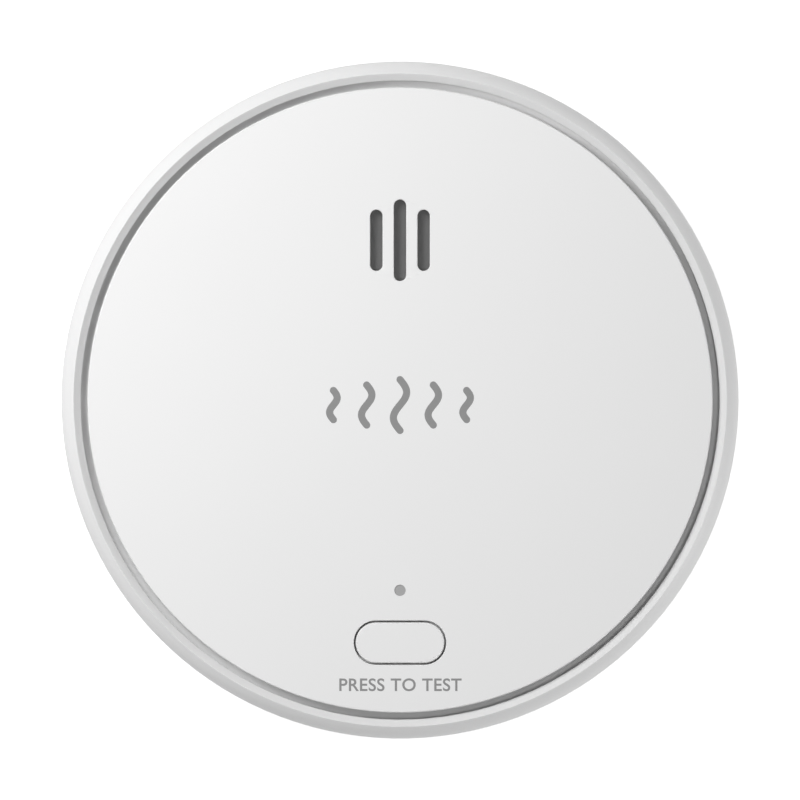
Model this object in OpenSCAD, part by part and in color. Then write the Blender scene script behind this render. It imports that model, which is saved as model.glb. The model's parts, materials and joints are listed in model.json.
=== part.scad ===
// Battery smoke alarm on a twist-lock ceiling bracket.
// Z = 0 is the ceiling face of the bracket and +Z points out of the ceiling, through the alarm, to its face.
// +Y is the sounder's side of the face and -Y the test button's side. Millimetres.

/* [Case] */
// Diameter of the casing at its ceiling edge
case_d = 100; // [99:0.5:101]
// Height from the ceiling to the face
case_h = 38; // [37.5:0.5:40]
// Diameter of the rim's crest around the smoke inlet
crest_d = 96.2; // [95.9:0.1:96.6]
// Thickness of the casing's wall
wall = 2; // [1.8:0.1:2.2]

/* [Face plate] */
// Diameter of the face plate
face_d = 92; // [91.6:0.1:92.2]
// Thickness of the face plate
face_t = 2; // [1.8:0.1:2.2]
// Width of the ring-shaped smoke inlet around the face plate
inlet_gap = 1.05; // [0.9:0.05:1.2]
// Height of the air passage under the face plate
inlet_h = 1.5; // [1.3:0.1:1.8]

/* [Test button] */
// Length of the opening for the button
button_l = 13.6; // [12.6:0.1:14]
// Width of the opening for the button
button_w = 6.5; // [6:0.1:6.6]
// Clearance around the button
button_gap = 0.27; // [0.2:0.01:0.35]
// Travel of the button
button_travel = 0.5; // [0.3:0.1:0.7]
// Distance of the button below the centre
button_y = 35.7; // [35.5:0.05:36]

/* [Sounder] */
// Width of each sound slot
slot_w = 1.82; // [1.4:0.02:2]
// Length of the middle sound slot
slot_long = 12; // [10:0.1:13]
// Length of the outer sound slots
slot_short = 9; // [7:0.1:10]
// Distance between neighbouring slots
slot_pitch = 3.48; // [3:0.02:3.8]
// Distance of the sounder above the centre
sounder_y = 23.5; // [23.3:0.1:23.7]

/* [Indicator] */
// Diameter of the indicator's light pipe
pipe_d = 1.62; // [1.2:0.02:2]
// Distance of the indicator below the centre
pipe_y = 28; // [27.8:0.05:28.3]

/* [Bracket] */
// Distance between opposite ceiling screws
screw_spacing = 60; // [56:1:62]
// Width of the screw slots
screw_slot_w = 4.4; // [4:0.1:5]
// Length of the screw slots
screw_slot_l = 8; // [6:0.5:9]
// Diameter of the round window in the middle
window_d = 24; // [16:1:26]
// Angle that each bayonet tab and lug spans
tab_angle = 16; // [12:1:16]

/* [Electronics] */
// Diameter of the battery cell
cell_d = 17; // [16:0.1:17]
// Length of the battery cell
cell_l = 33.5; // [30:0.5:34]
// Thickness of the circuit board
board_t = 1.6; // [1:0.1:1.6]

/* [Hidden] */
$fn = 96;

cut = 0.1; // overshoot that keeps a cutter clear of the faces it opens
root = 0.5; // depth to which a joined feature is sunk into its parent

// Radii of the shells
case_r = case_d / 2;
crest_r = crest_d / 2;
face_r = face_d / 2;
inlet_r = face_r + inlet_gap;
bore_r = case_r - wall;
rear_gap = 0.15;
rear_r = bore_r - rear_gap;
skirt_w = 2.85;
recess_r = rear_r - skirt_w;
ledge_r = 40.5;

// Heights of the shells
edge_z = 0.8;
back_z = 5;
floor_z = back_z + 2;
face_z = case_h;
under_z = face_z - face_t;
crest_drop = 0.4;
crest_z = face_z - crest_drop;
inlet_z = under_z - inlet_h;
ledge_t = 1.8;
ledge_z = inlet_z - ledge_t;

// Side of the casing: a drafted wall that turns into a shoulder arc
draft = 0.1;
foot_round = 0.5;
rim_flat = 0.06;
shoulder_r = 5;
shoulder_x = case_r - draft - shoulder_r;
shoulder_a = acos((crest_r - shoulder_x) / shoulder_r);
shoulder_z = crest_z - shoulder_r * sin(shoulder_a);

// Bracket
bracket_r = 40;
bracket_t = 1.8;
bracket_rim_w = 2;
bracket_rim_h = 4.4;
bracket_chamfer = 0.4;
hub_w = 1.4;
rib_w = 1.2;
rib_z = 3.4;
slot_boss_w = 3.4;
slot_boss_z = 2.4;
relief_r = bracket_r - 3;
relief_w = 2.8;
relief_t = 0.5;
tab_reach = 3;
tab_t = 1.4;
stop_angle = 1.6;
stop_w = 1.2;
lug_z = 1.2;
lug_t = 1.6;
lug_reach = 4;
lug_slack = 1;
lock_angles = [0, 90, 180, 270];

// Case screws, in columns that hang from the casing's ledge
case_screw_r = 41.5;
case_screw_angles = [45, 135, 225, 315];
column_r = 3.1;
column_z = 8.2;
column_web_t = 1.6;
counterbore_r = 3.1;
counterbore_wall = 0.9;
counterbore_z = 6.9;
case_screw_hole_r = 1.6;
case_screw_l = 11;

// Face screws, from behind the ledge into bosses under the face plate
face_screw_r = 43;
face_screw_angles = [0 : 60 : 300];
face_boss_r = 2.3;
face_shank_r = 0.9;
face_screw_tip = 0.9;
face_round = 0.2;
lip_r = 0.12;
inlet_rib_w = 1;
inlet_rib_l = 4.2;

// Circuit board and what holds it
board_z = 12;
board_top = board_z + board_t;
board_r = 44.3;
board_screws_at = [[20, 36.5], [39.5, -7], [-13, -39], [-18, 37]];
board_screw_r = 1;
post_r = 2.8;
collar_w = 1.8;
collar_gap = 0.4;
collar_h = 2.5;
floor_rib_at = 34;
floor_rib_l = 12;
floor_rib_h = 2;

// Rating label, in a shallow recess of the rear cover
label_x = -3;
label_l = 34;
label_w = 26;
label_r = 2;
label_t = 0.12;
label_gap = 0.3;
label_depth = 0.15;

// Battery, lying along Y on the left
cell_r = cell_d / 2;
cell_x = -29;
cell_y = -2;
pad_t = 0.8;
cell_z = floor_z + pad_t + cell_r;
saddle_l = cell_d + 2;
saddle_t = 1.6;
saddle_h = 0.9 * cell_r;
saddle_gap = 0.25;
saddle_pitch = 22;
cell_stop_l = 10;
cell_stop_t = 1.4;
cell_stop_h = 6;
cell_stop_gap = 2.2;
sleeve_t = 0.15;
cell_round = 0.8;
tab_w = 4;

// Smoke chamber
chamber_at = [0, -8.7];
chamber_r = 16.2;
chamber_floor = board_top + 2;
vane_z = 29;
chamber_top = 30.6;
optics_z = 20;
emitter_angle = 205;
receiver_angle = 335;
holder_x = 7;
holder_l = 6;
optic_x = 5.4;
optic_r = 1.5;
optic_l = 4.9;
leg_w = 0.44;
vane = [[14.9, -1.9], [12.9, 0.5], [11.2, -1.6], [11.2, -0.5], [12.9, 1.6], [14.9, -0.8]];

// Sounder
horn_r = 15;
horn_bottom = 26;
horn_top = under_z - 0.4;
piezo_r = 13.5;
piezo_z = 27.7;
piezo_t = 0.3;
ear_x = 18.2;
ear_z = horn_top - 3;
ear_t = 1.6;

// Light pipe over the status light
pipe_seat = 0.6;
pipe_collar_r = 1.7;
pipe_collar_t = 1.2;
pipe_body_r = 1.25;
pipe_foot = 16;

// Button, its spring and its switch
cap_l = button_l - 2 * button_gap;
cap_w = button_w - 2 * button_gap;
cap_round = 0.2;
flange_l = 15.4;
flange_w = 8.2;
flange_t = 1.4;
flange_top = under_z - 0.05;
flange_z = flange_top - flange_t;
retainer_z = 31;
retainer_t = 1.2;
retainer_screw_x = 11;
retainer_screw_r = 0.8;
retainer_screw_l = 5;
retainer_boss_r = 2.2;
flange_gap = 0.5;
pocket_w = 2.8;
guide_l = 4;
stem_r = 2.2;
spring_r = 2.95;
spring_wire = 0.25;
spring_turns = 3.5;
spring_steps = 16;
switch_h = 3.5;
plunger_r = 1.7;
plunger_rise = 1.4;
plunger_top = board_top + switch_h + plunger_rise + button_travel;

// Power switch under the board, reached through the rear cover's window
power_switch_at = [25, 1];
power_travel = 2;
power_switch_z = 8.4;
slider_l = 2;
slider_w = 1.7;
slider_z = 5.2;
slider_top = 10;
switch_window_l = 6;
switch_window_w = 3.4;

// Parts on the circuit board
mcu_at = [32, 12];
mcu_w = 7.5;
asic_at = [27, -20];
asic_w = 3.9;
lead_pitch = 1.27;
lead_w = 0.4;
lead_t = 0.2;
lead_h = 1;
lead_foot = 0.7;
lead_reach = 1.25;
coil_at = [-1, 33.5];
coil_r = 4;
coil_core_r = 2;
coil_h = 9;
coil_flange = 1.4;
cans_at = [[8.4, 35], [15.2, 30.4]];
can_r = 3.1;
can_h = 8;
can_round = 0.4;
crystal_at = [31, -2.6];
resistor_h = 0.55;
capacitor_h = 0.9;
plug_at = [-12, 30];
plug_h = 6.4;
header_h = 4.6;

// Wires
wire_r = 0.6;
tab_face = cell_l / 2 + 0.17;
positive_route = [[-29, cell_y + tab_face, 19], [-28.9, 17.2, 19.2], [-27.6, 19.6, 20.4], [-24, 22, 21.5],
    [-19, 25, 22], [-15, 28, 22], [-13.1, 29.9, 21], [-13, 30, 19.75]];
negative_route = [[-27, cell_y - tab_face, 18.5], [-26.8, -21, 18.7], [-25, -23, 19.8], [-21.6, -22.8, 21.2],
    [-19, -19.5, 22.2], [-18.3, -13, 22.5], [-18.3, -4, 22.5], [-18.3, 8, 22.5], [-17, 17, 22.5],
    [-13.6, 24.6, 22.8], [-11.3, 28.6, 22.4], [-11, 29.9, 21.2], [-11, 30, 19.75]];
signal_route = [[3, 23.5, 26.82], [4.2, 23.2, 26.3], [6, 22.4, 23.5], [7.8, 21.2, 20], [8.6, 20.4, 16.5],
    [8.6, 20.3, board_top + 0.06]];
ground_route = [[-10.6, 21, 27.05], [-10.3, 20.2, 26.3], [-9, 19.2, 23.5], [-7, 18.5, 20], [-6, 18.2, 16.5],
    [-6, 18.2, board_top + 0.06]];

// ---------------------------------------------------------------- shared shapes

function arc(x, z, r, from, to, n) = [for (i = [0 : n]) let (a = from + (to - from) * i / n)
    [x + r * cos(a), z + r * sin(a)]];

module slab(r, z0, z1) {
    translate([0, 0, z0]) cylinder(r = r, h = z1 - z0);
}

module ring(r_in, r_out, z0, z1) {
    rotate_extrude() translate([r_in, z0]) square([r_out - r_in, z1 - z0]);
}

module ring_piece(r_in, r_out, z0, z1, middle, span) {
    x = 1.1 * r_out * cos(span / 2);
    y = 1.1 * r_out * sin(span / 2);
    translate([0, 0, z0]) rotate([0, 0, middle]) linear_extrude(z1 - z0) intersection() {
        difference() {
            circle(r = r_out);
            circle(r = r_in);
        }
        polygon([[0, 0], [x, -y], [x, y]]);
    }
}

module block(x, y, z0, z1) {
    translate([-x / 2, -y / 2, z0]) cube([x, y, z1 - z0]);
}

module at_polar(r, angle) {
    rotate([0, 0, angle]) translate([r, 0, 0]) children();
}

module stadium(l, w) {
    for (s = [-1, 1]) translate([s * (l - w) / 2, 0]) circle(d = w);
    square([l - w, w], center = true);
}

module pill(l, w, z0, z1) {
    translate([0, 0, z0]) linear_extrude(z1 - z0) stadium(l, w);
}

module rounded_block(x, y, r, z0, z1) {
    translate([0, 0, z0]) linear_extrude(z1 - z0) {
        square([x - 2 * r, y], center = true);
        square([x, y - 2 * r], center = true);
        for (sx = [-1, 1], sy = [-1, 1]) translate([sx * (x / 2 - r), sy * (y / 2 - r)]) circle(r = r);
    }
}

// A pan-head screw pointing up from z, with a cross recess in its head
module screw(z, head_r, head_h, shank_r, shank_l) {
    difference() {
        union() {
            slab(head_r, z - head_h, z);
            slab(shank_r, z, z + shank_l - shank_r);
            translate([0, 0, z + shank_l - shank_r]) cylinder(r1 = shank_r, r2 = shank_r * 0.3, h = shank_r);
        }
        for (a = [0, 90]) rotate([0, 0, a])
            block(head_r * 1.25, head_r * 0.3, z - head_h - cut, z - head_h * 0.45);
    }
}

// A screw pointing down, with its head on top at z
module screw_down(z, head_r, head_h, shank_r, shank_l) {
    translate([0, 0, z]) mirror([0, 0, 1]) screw(0, head_r, head_h, shank_r, shank_l);
}

// A tube of even section along a smooth curve through the points, closed by flat ends
function unit(v) = v / norm(v);
function between(p0, p1, p2, p3, t) = 0.5 * (2 * p1 + (p2 - p0) * t + (2 * p0 - 5 * p1 + 4 * p2 - p3) * t * t
    + (3 * p1 - p0 - 3 * p2 + p3) * t * t * t);
function smooth_path(p, steps) = let (n = len(p) - 1) concat(
    [for (i = [0 : n - 1], k = [0 : steps - 1])
        between(p[max(i - 1, 0)], p[i], p[i + 1], p[min(i + 2, n)], k / steps)], [p[n]]);
function tangent(p, i) = unit(p[min(i + 1, len(p) - 1)] - p[max(i - 1, 0)]);

module tube_along(path, r, sides, side_hint) {
    n = len(path);
    points = [for (i = [0 : n - 1]) let (t = tangent(path, i), u = unit(cross(t, side_hint)), v = cross(t, u))
        for (k = [0 : sides - 1]) path[i] + r * (cos(360 * k / sides) * u + sin(360 * k / sides) * v)];
    sides_faces = [for (i = [0 : n - 2], k = [0 : sides - 1]) let (m = (k + 1) % sides)
        [i * sides + k, (i + 1) * sides + k, (i + 1) * sides + m, i * sides + m]];
    first = [for (k = [0 : sides - 1]) k];
    last = [for (k = [sides - 1 : -1 : 0]) (n - 1) * sides + k];
    polyhedron(points = points, faces = concat(sides_faces, [first], [last]), convexity = 8);
}

// ---------------------------------------------------------------- bracket

module mounting_bracket() color("whitesmoke") {
    difference() {
        union() {
            slab(bracket_r - bracket_rim_w, 0, bracket_t);
            rotate_extrude() polygon([[bracket_r - bracket_rim_w, 0], [bracket_r - bracket_chamfer, 0],
                [bracket_r, bracket_chamfer], [bracket_r, bracket_rim_h],
                [bracket_r - bracket_rim_w, bracket_rim_h]]);
            ring(window_d / 2, window_d / 2 + hub_w, 0, rib_z);
            for (a = [22.5 : 45 : 337.5]) at_polar((window_d + hub_w) / 2, a) translate([0, -rib_w / 2, 0])
                cube([bracket_r - (bracket_rim_w + window_d + hub_w) / 2, rib_w, rib_z]);
            for (a = lock_angles) at_polar(screw_spacing / 2, a)
                pill(screw_slot_l + slot_boss_w, screw_slot_w + slot_boss_w, 0, slot_boss_z);
        }
        slab(window_d / 2, -cut, rib_z + cut);
        ring(relief_r - relief_w / 2, relief_r + relief_w / 2, -cut, relief_t);
        for (a = lock_angles) at_polar(screw_spacing / 2, a)
            pill(screw_slot_l, screw_slot_w, -cut, slot_boss_z + cut);
    }
    for (a = lock_angles) {
        ring_piece(bracket_r - root, bracket_r + tab_reach, bracket_rim_h - tab_t, bracket_rim_h,
            a - stop_angle / 2, tab_angle + stop_angle);
        at_polar(bracket_r - root, a - (tab_angle + stop_angle) / 2) translate([-root / 2, -stop_w / 2, edge_z])
            cube([tab_reach + root, stop_w, bracket_rim_h - tab_t + cut - edge_z]);
    }
}

// ---------------------------------------------------------------- rear cover

module battery_saddle(y) {
    difference() {
        translate([cell_x, y, 0]) block(saddle_l, saddle_t, floor_z - cut, floor_z + saddle_h);
        translate([cell_x, y - saddle_t, cell_z]) rotate([-90, 0, 0])
            cylinder(r = cell_r + saddle_gap, h = 2 * saddle_t);
    }
}

module cell_stop(y) {
    translate([cell_x - cell_stop_l / 2, y, floor_z - cut]) cube([cell_stop_l, cell_stop_t, cell_stop_h + cut]);
}

module rear_cover() color("white") difference() {
    union() {
        slab(rear_r, back_z, floor_z);
        ring(recess_r, rear_r, edge_z, back_z + cut);
        ring(rear_r - collar_w - collar_gap, rear_r - collar_gap, floor_z - cut, floor_z + collar_h);
        for (a = lock_angles)
            ring_piece(recess_r - lug_reach, recess_r + root, lug_z, lug_z + lug_t, a, tab_angle - lug_slack);
        for (a = case_screw_angles) at_polar(case_screw_r, a)
            slab(counterbore_r + counterbore_wall, floor_z - cut, column_z);
        for (p = board_screws_at) translate(p) slab(post_r, floor_z - cut, board_z);
        for (s = [-1, 1]) battery_saddle(cell_y + s * saddle_pitch / 2);
        cell_stop(cell_y + cell_l / 2 + cell_stop_gap);
        cell_stop(cell_y - cell_l / 2 - cell_stop_gap - cell_stop_t);
        for (a = [75, 105, 255, 285]) at_polar(floor_rib_at, a)
            block(floor_rib_l, rib_w, floor_z - cut, floor_z + floor_rib_h);
    }
    for (a = case_screw_angles) at_polar(case_screw_r, a) {
        slab(counterbore_r, back_z - cut, counterbore_z);
        slab(case_screw_hole_r, back_z, column_z + cut);
    }
    for (p = board_screws_at) translate(p) slab(board_screw_r + 0.02, floor_z, board_z + cut);
    translate(power_switch_at)
        rounded_block(switch_window_l, switch_window_w, 0.6, back_z - cut, floor_z + cut);
    label_plate(label_gap, back_z - cut);
}

module label_plate(grown, z0) {
    translate([label_x, 0, 0])
        rounded_block(label_l + 2 * grown, label_w + 2 * grown, label_r + grown, z0, back_z + label_depth);
}

module rating_label() color("gainsboro") label_plate(0, back_z + label_depth - label_t);

module case_screws() color("silver") {
    for (a = case_screw_angles) at_polar(case_screw_r, a) screw(counterbore_z, 2.75, 1.7, 1.25, case_screw_l);
}

// ---------------------------------------------------------------- casing and face

module casing_column(angle) {
    at_polar(case_screw_r, angle) {
        slab(column_r, column_z, ledge_z + cut);
        translate([0, -column_web_t / 2, floor_z + 3])
            cube([bore_r - case_screw_r + root, column_web_t, ledge_z - floor_z - 3 + cut]);
    }
}

module casing_shell() {
    bevel = crest_r - rim_flat - inlet_r;
    rotate_extrude() polygon(concat(
        [[bore_r, edge_z]],
        arc(case_r - foot_round, edge_z + foot_round, foot_round, -90, 0, 4),
        arc(shoulder_x, shoulder_z, shoulder_r, 0, shoulder_a, 12),
        [[crest_r - rim_flat, crest_z], [inlet_r, crest_z - bevel], [inlet_r, inlet_z], [ledge_r, inlet_z],
         [ledge_r, ledge_z], [bore_r, ledge_z]]
    ));
}

module outer_casing() color("white") difference() {
    union() {
        casing_shell();
        for (a = case_screw_angles) casing_column(a);
        for (a = [15 : 15 : 360]) if (a % 60 != 0 && abs(a - 270) > 20)
            at_polar(ledge_r + root, a) translate([0, -inlet_rib_w / 2, inlet_z - cut])
                cube([inlet_rib_l, inlet_rib_w, inlet_h + cut]);
    }
    for (a = case_screw_angles) at_polar(case_screw_r, a)
        slab(1.27, column_z - cut, column_z + case_screw_l + 2);
    for (a = face_screw_angles) at_polar(face_screw_r, a) slab(1.15, ledge_z - cut, inlet_z + cut);
    translate([0, -39, 0]) block(28, 6.2, ledge_z - cut, inlet_z + cut);
}

module button_pocket() {
    difference() {
        union() {
            pill(flange_l + pocket_w, flange_w + pocket_w, retainer_z, under_z + cut);
            for (s = [-1, 1]) translate([s * retainer_screw_x, 0, 0])
                slab(retainer_boss_r, retainer_z, under_z + cut);
        }
        pill(flange_l + flange_gap, flange_w + flange_gap, retainer_z - cut, under_z);
        for (s = [-1, 1]) translate([s * retainer_screw_x, 0, 0])
            slab(retainer_screw_r + 0.02, retainer_z - cut, under_z);
    }
}

// Stadium-shaped solid along X with the outline, given for x >= 0, as its profile all round
module stadium_solid(l, w, outline) {
    half = (l - w) / 2;
    for (side = [0, 180]) rotate([0, 0, side]) translate([half, 0, 0]) rotate([0, 0, -90])
        rotate_extrude(angle = 180) polygon(outline);
    rotate([90, 0, 90]) translate([0, 0, -half]) linear_extrude(2 * half)
        polygon(concat(outline, [for (i = [len(outline) - 1 : -1 : 0]) if (outline[i].x > 0)
            [-outline[i].x, outline[i].y]]));
}

function opening_outline(w, lip) = concat(
    [[0, under_z - cut], [w / 2, under_z - cut]],
    arc(w / 2 + lip, face_z - lip, lip, 180, 90, 4),
    [[w / 2 + lip, face_z + cut], [0, face_z + cut]]);

module face_plate() color("white") difference() {
    union() {
        rotate_extrude() polygon(concat(
            [[0, under_z], [face_r - face_round, under_z], [face_r, under_z + face_round]],
            arc(face_r - face_round, face_z - face_round, face_round, 0, 90, 6),
            [[0, face_z]]
        ));
        for (a = face_screw_angles) at_polar(face_screw_r, a) slab(face_boss_r, inlet_z, under_z + cut);
        translate([0, sounder_y, 0]) ring(horn_r + 0.2, horn_r + 1.4, under_z - 1.2, under_z + cut);
        for (s = [-1, 1]) translate([s * ear_x, sounder_y, 0]) slab(2.2, ear_z + ear_t, under_z + cut);
        translate([0, -button_y, 0]) button_pocket();
        translate([0, -pipe_y, 0]) slab(pipe_collar_r + 0.7, under_z - pipe_seat, under_z + cut);
    }
    for (a = face_screw_angles) at_polar(face_screw_r, a)
        slab(face_shank_r + 0.02, inlet_z - cut, face_z - face_screw_tip);
    for (s = [-1, 1]) translate([s * ear_x, sounder_y, 0]) slab(0.92, ear_z + ear_t - cut, face_z - 0.8);
    for (s = [-1, 0, 1]) translate([s * slot_pitch, sounder_y, 0]) rotate([0, 0, 90])
        stadium_solid(s == 0 ? slot_long : slot_short, slot_w, opening_outline(slot_w, lip_r));
    translate([0, -button_y, 0]) stadium_solid(button_l, button_w, opening_outline(button_w, lip_r));
    translate([0, -button_y, 0]) pill(flange_l + flange_gap, flange_w + flange_gap, retainer_z - cut, under_z);
    translate([0, -pipe_y, 0]) slab(pipe_d / 2 + 0.02, under_z - 1, face_z + cut);
}

module face_screws() color("silver") {
    for (a = face_screw_angles) at_polar(face_screw_r, a)
        screw(ledge_z, 1.85, 1.3, face_shank_r, face_z - face_screw_tip - 0.2 - ledge_z);
}

// ---------------------------------------------------------------- test button

function cap_outline() = concat(
    [[0, flange_top - cut], [cap_w / 2, flange_top - cut]],
    arc(cap_w / 2 - cap_round, face_z - cap_round, cap_round, 0, 90, 5),
    [[0, face_z]]);

module test_button() color("white") translate([0, -button_y, 0]) {
    stadium_solid(cap_l, cap_w, cap_outline());
    pill(flange_l, flange_w, flange_z, flange_top);
    slab(stem_r, plunger_top, flange_z + cut);
}

module button_spring() color("silver") translate([0, -button_y, 0]) {
    low = retainer_z + spring_wire + 0.02;
    high = flange_z - spring_wire - 0.02;
    steps = spring_steps * spring_turns;
    tube_along([for (i = [0 : steps]) let (a = 360 * spring_turns * i / steps)
        [spring_r * cos(a), spring_r * sin(a), low + (high - low) * i / steps]], spring_wire, 8, [0, 0, 1]);
}

module button_retainer() color("white") translate([0, -button_y, 0]) difference() {
    union() {
        pill(flange_l + pocket_w, flange_w + pocket_w - 0.4, retainer_z - retainer_t, retainer_z);
        for (s = [-1, 1]) translate([s * retainer_screw_x, 0, 0])
            slab(retainer_boss_r, retainer_z - retainer_t, retainer_z);
        slab(stem_r + 1.3, retainer_z - guide_l, retainer_z);
    }
    slab(stem_r + 0.12, retainer_z - guide_l - cut, retainer_z + cut);
    for (s = [-1, 1]) translate([s * retainer_screw_x, 0, 0])
        slab(retainer_screw_r + 0.15, retainer_z - retainer_t - cut, retainer_z + cut);
}

module retainer_screws() color("silver") {
    for (s = [-1, 1]) translate([s * retainer_screw_x, -button_y, 0])
        screw(retainer_z - retainer_t, 1.5, 1, retainer_screw_r, retainer_screw_l);
}

module light_pipe() color("lightgrey") translate([0, -pipe_y, 0]) {
    slab(pipe_d / 2, under_z - pipe_seat - cut, face_z - 0.15);
    slab(pipe_collar_r, under_z - pipe_seat - pipe_collar_t, under_z - pipe_seat);
    slab(pipe_body_r, pipe_foot, under_z - pipe_seat - pipe_collar_t + cut);
}

// ---------------------------------------------------------------- sounder

module sounder_mesh() color("dimgrey") translate([0, sounder_y, 0]) rounded_block(12, 15, 2, horn_top, under_z);

module horn_ear() {
    translate([horn_r - 0.5, -2.4, ear_z]) cube([ear_x - horn_r + 0.5, 4.8, ear_t]);
    translate([ear_x, 0, 0]) slab(2.4, ear_z, ear_z + ear_t);
}

module sounder_horn() color("dimgrey") translate([0, sounder_y, 0]) difference() {
    union() {
        slab(horn_r, horn_bottom, horn_top);
        horn_ear();
        mirror([1, 0, 0]) horn_ear();
    }
    slab(piezo_r - 0.9, piezo_z + piezo_t, horn_top - 1.4);
    slab(piezo_r + 0.05, horn_bottom - cut, piezo_z + piezo_t);
    slab(6.6, horn_top - 1.4 - cut, horn_top + cut);
    for (s = [-1, 1]) translate([s * ear_x, 0, 0]) slab(1.05, ear_z - cut, ear_z + ear_t + cut);
}

module horn_screws() color("silver") {
    for (s = [-1, 1]) translate([s * ear_x, sounder_y, 0]) screw(ear_z, 1.7, 1.1, 0.9, 4.4);
}

module piezo_plate() color("gold") translate([0, sounder_y, 0]) slab(piezo_r, piezo_z, piezo_z + piezo_t);

module piezo_ceramic() color("ivory") translate([0, sounder_y, 0]) slab(10, piezo_z - 0.25, piezo_z);

module piezo_clamp_ring() color("dimgrey") translate([0, sounder_y, 0])
    ring(piezo_r - 1.6, piezo_r, horn_bottom, piezo_z);

module sounder_lead(route) {
    tube_along(smooth_path(route, 4), wire_r, 8, [1, 0.2, 0]);
}

module sounder_lead_signal() color("red") sounder_lead(signal_route);

module sounder_lead_ground() color("black") sounder_lead(ground_route);

// ---------------------------------------------------------------- circuit board

module main_board() color("darkgreen") difference() {
    slab(board_r, board_z, board_top);
    translate([-board_r - 1, cell_y - cell_l / 2 - 4.2, board_z - cut])
        cube([board_r + 1 + cell_x + cell_r + 1.2, cell_l + 8.4, board_t + 2 * cut]);
    for (a = case_screw_angles) at_polar(case_screw_r, a) slab(column_r + 0.5, board_z - cut, board_top + cut);
    for (p = board_screws_at) translate(p) slab(1.3, board_z - cut, board_top + cut);
}

module board_screws() color("silver") {
    for (p = board_screws_at) translate(p) screw_down(board_top, 2.1, 1.4, 1, 6);
}

module test_switch_body() color("dimgrey") translate([0, -button_y, 0]) difference() {
    union() {
        rounded_block(6, 6, 0.5, board_top, board_top + switch_h - 0.3);
        rounded_block(6.2, 5.6, 0.3, board_top + switch_h - 0.3, board_top + switch_h);
        for (sx = [-1, 1], sy = [-1, 1]) translate([sx * 3.4, sy * 2.25, 0])
            block(1.4, 0.7, board_top, board_top + 0.9);
    }
    slab(plunger_r + 0.1, board_top + 0.5, board_top + switch_h + cut);
}

module test_switch_plunger() color("black") translate([0, -button_y, 0])
    slab(plunger_r, board_top + plunger_rise, plunger_top);

module status_led() color("whitesmoke") translate([0, -pipe_y, 0])
    rounded_block(3.5, 2.8, 0.3, board_top, board_top + 1.9);

module power_switch_body() color("silver") translate(power_switch_at) difference() {
    rounded_block(8.6, 4.4, 0.3, power_switch_z, board_z);
    block(slider_l + 0.2 + power_travel, slider_w + 0.2, power_switch_z - cut, slider_top + 0.2);
}

module power_switch_slider() color("black") translate(power_switch_at) translate([power_travel / 2, 0, 0])
    block(slider_l, slider_w, slider_z, slider_top);

module chip(x, y, h) {
    rounded_block(x, y, 0.15, board_top + 0.15, board_top + h);
}

module microcontroller() color("black") translate(mcu_at) chip(mcu_w, 12.8, 2.3);

module sensor_chip() color("black") translate(asic_at) chip(asic_w, 9.9, 1.6);

// Gull-wing leads along both long sides of a chip: a flat on the board, a riser and a shoulder
module lead_row(count, width) {
    for (s = [0, 1], i = [0 : count - 1]) mirror([s, 0, 0])
        translate([width / 2, (i - (count - 1) / 2) * lead_pitch - lead_w / 2, board_top]) {
            translate([lead_reach - lead_foot, 0, 0]) cube([lead_foot, lead_w, lead_t]);
            translate([lead_reach - lead_foot - lead_t / 2, 0, 0]) cube([lead_t, lead_w, lead_h]);
            translate([0, 0, lead_h - lead_t]) cube([lead_reach - lead_foot + lead_t / 2, lead_w, lead_t]);
        }
}

module chip_leads() color("silver") {
    translate(mcu_at) lead_row(10, mcu_w);
    translate(asic_at) lead_row(8, asic_w);
}

module boost_coil() color("dimgrey") translate(coil_at) {
    slab(coil_r, board_top, board_top + coil_flange);
    slab(coil_core_r, board_top, board_top + coil_h);
    slab(coil_r, board_top + coil_h - coil_flange, board_top + coil_h);
}

module coil_winding() color("peru") translate(coil_at)
    ring(coil_core_r + 0.05, coil_r - 0.4, board_top + coil_flange, board_top + coil_h - coil_flange);

module electrolytic_capacitors() color("midnightblue") {
    for (p = cans_at) translate(p) rotate_extrude() polygon(concat(
        [[0, board_top], [can_r, board_top], [can_r, board_top + 0.8], [can_r - 0.2, board_top + 1.1],
         [can_r, board_top + 1.4]],
        arc(can_r - can_round, board_top + can_h - can_round, can_round, 0, 90, 4), [[0, board_top + can_h]]));
}

// A row of two-terminal chip parts, placed every step along X or Y from the first
module chip_row(first, count, step, h) {
    for (i = [0 : count - 1]) translate(first + i * step) rotate([0, 0, step.x == 0 ? 0 : 90])
        block(2, 1.25, board_top, board_top + h);
}

module chip_resistors() color("black") {
    chip_row([20, 23.4], 5, [3.2, 0], resistor_h);
    chip_row([36, -14], 4, [0, -2.6], resistor_h);
    chip_row([11, -33.5], 4, [3.2, 0], resistor_h);
}

module chip_capacitors() color("tan") {
    chip_row([22, 8], 4, [0, 3], capacitor_h);
    chip_row([-24, -30], 3, [3.4, 0], capacitor_h);
    chip_row([20.5, -27], 2, [0, -3], capacitor_h);
}

module clock_crystal() color("silver") translate(crystal_at) {
    pill(11, 4.6, board_top, board_top + 0.4);
    pill(10.2, 3.8, board_top + 0.4, board_top + 3.5);
}

// ---------------------------------------------------------------- smoke chamber

module optic_holder(angle) {
    at_polar(holder_x, angle) block(holder_l, 4.6, chamber_floor - cut, optics_z + 2.3);
}

module optic_bore(angle) {
    at_polar(holder_x - holder_l, angle) translate([0, 0, optics_z]) rotate([0, 90, 0])
        cylinder(r = optic_r + 0.05, h = 2 * holder_l);
}

module optic_leg_slot(angle) {
    at_polar(10.5, angle) block(1.2, 3.4, board_top - cut, chamber_floor + cut);
}

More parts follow.
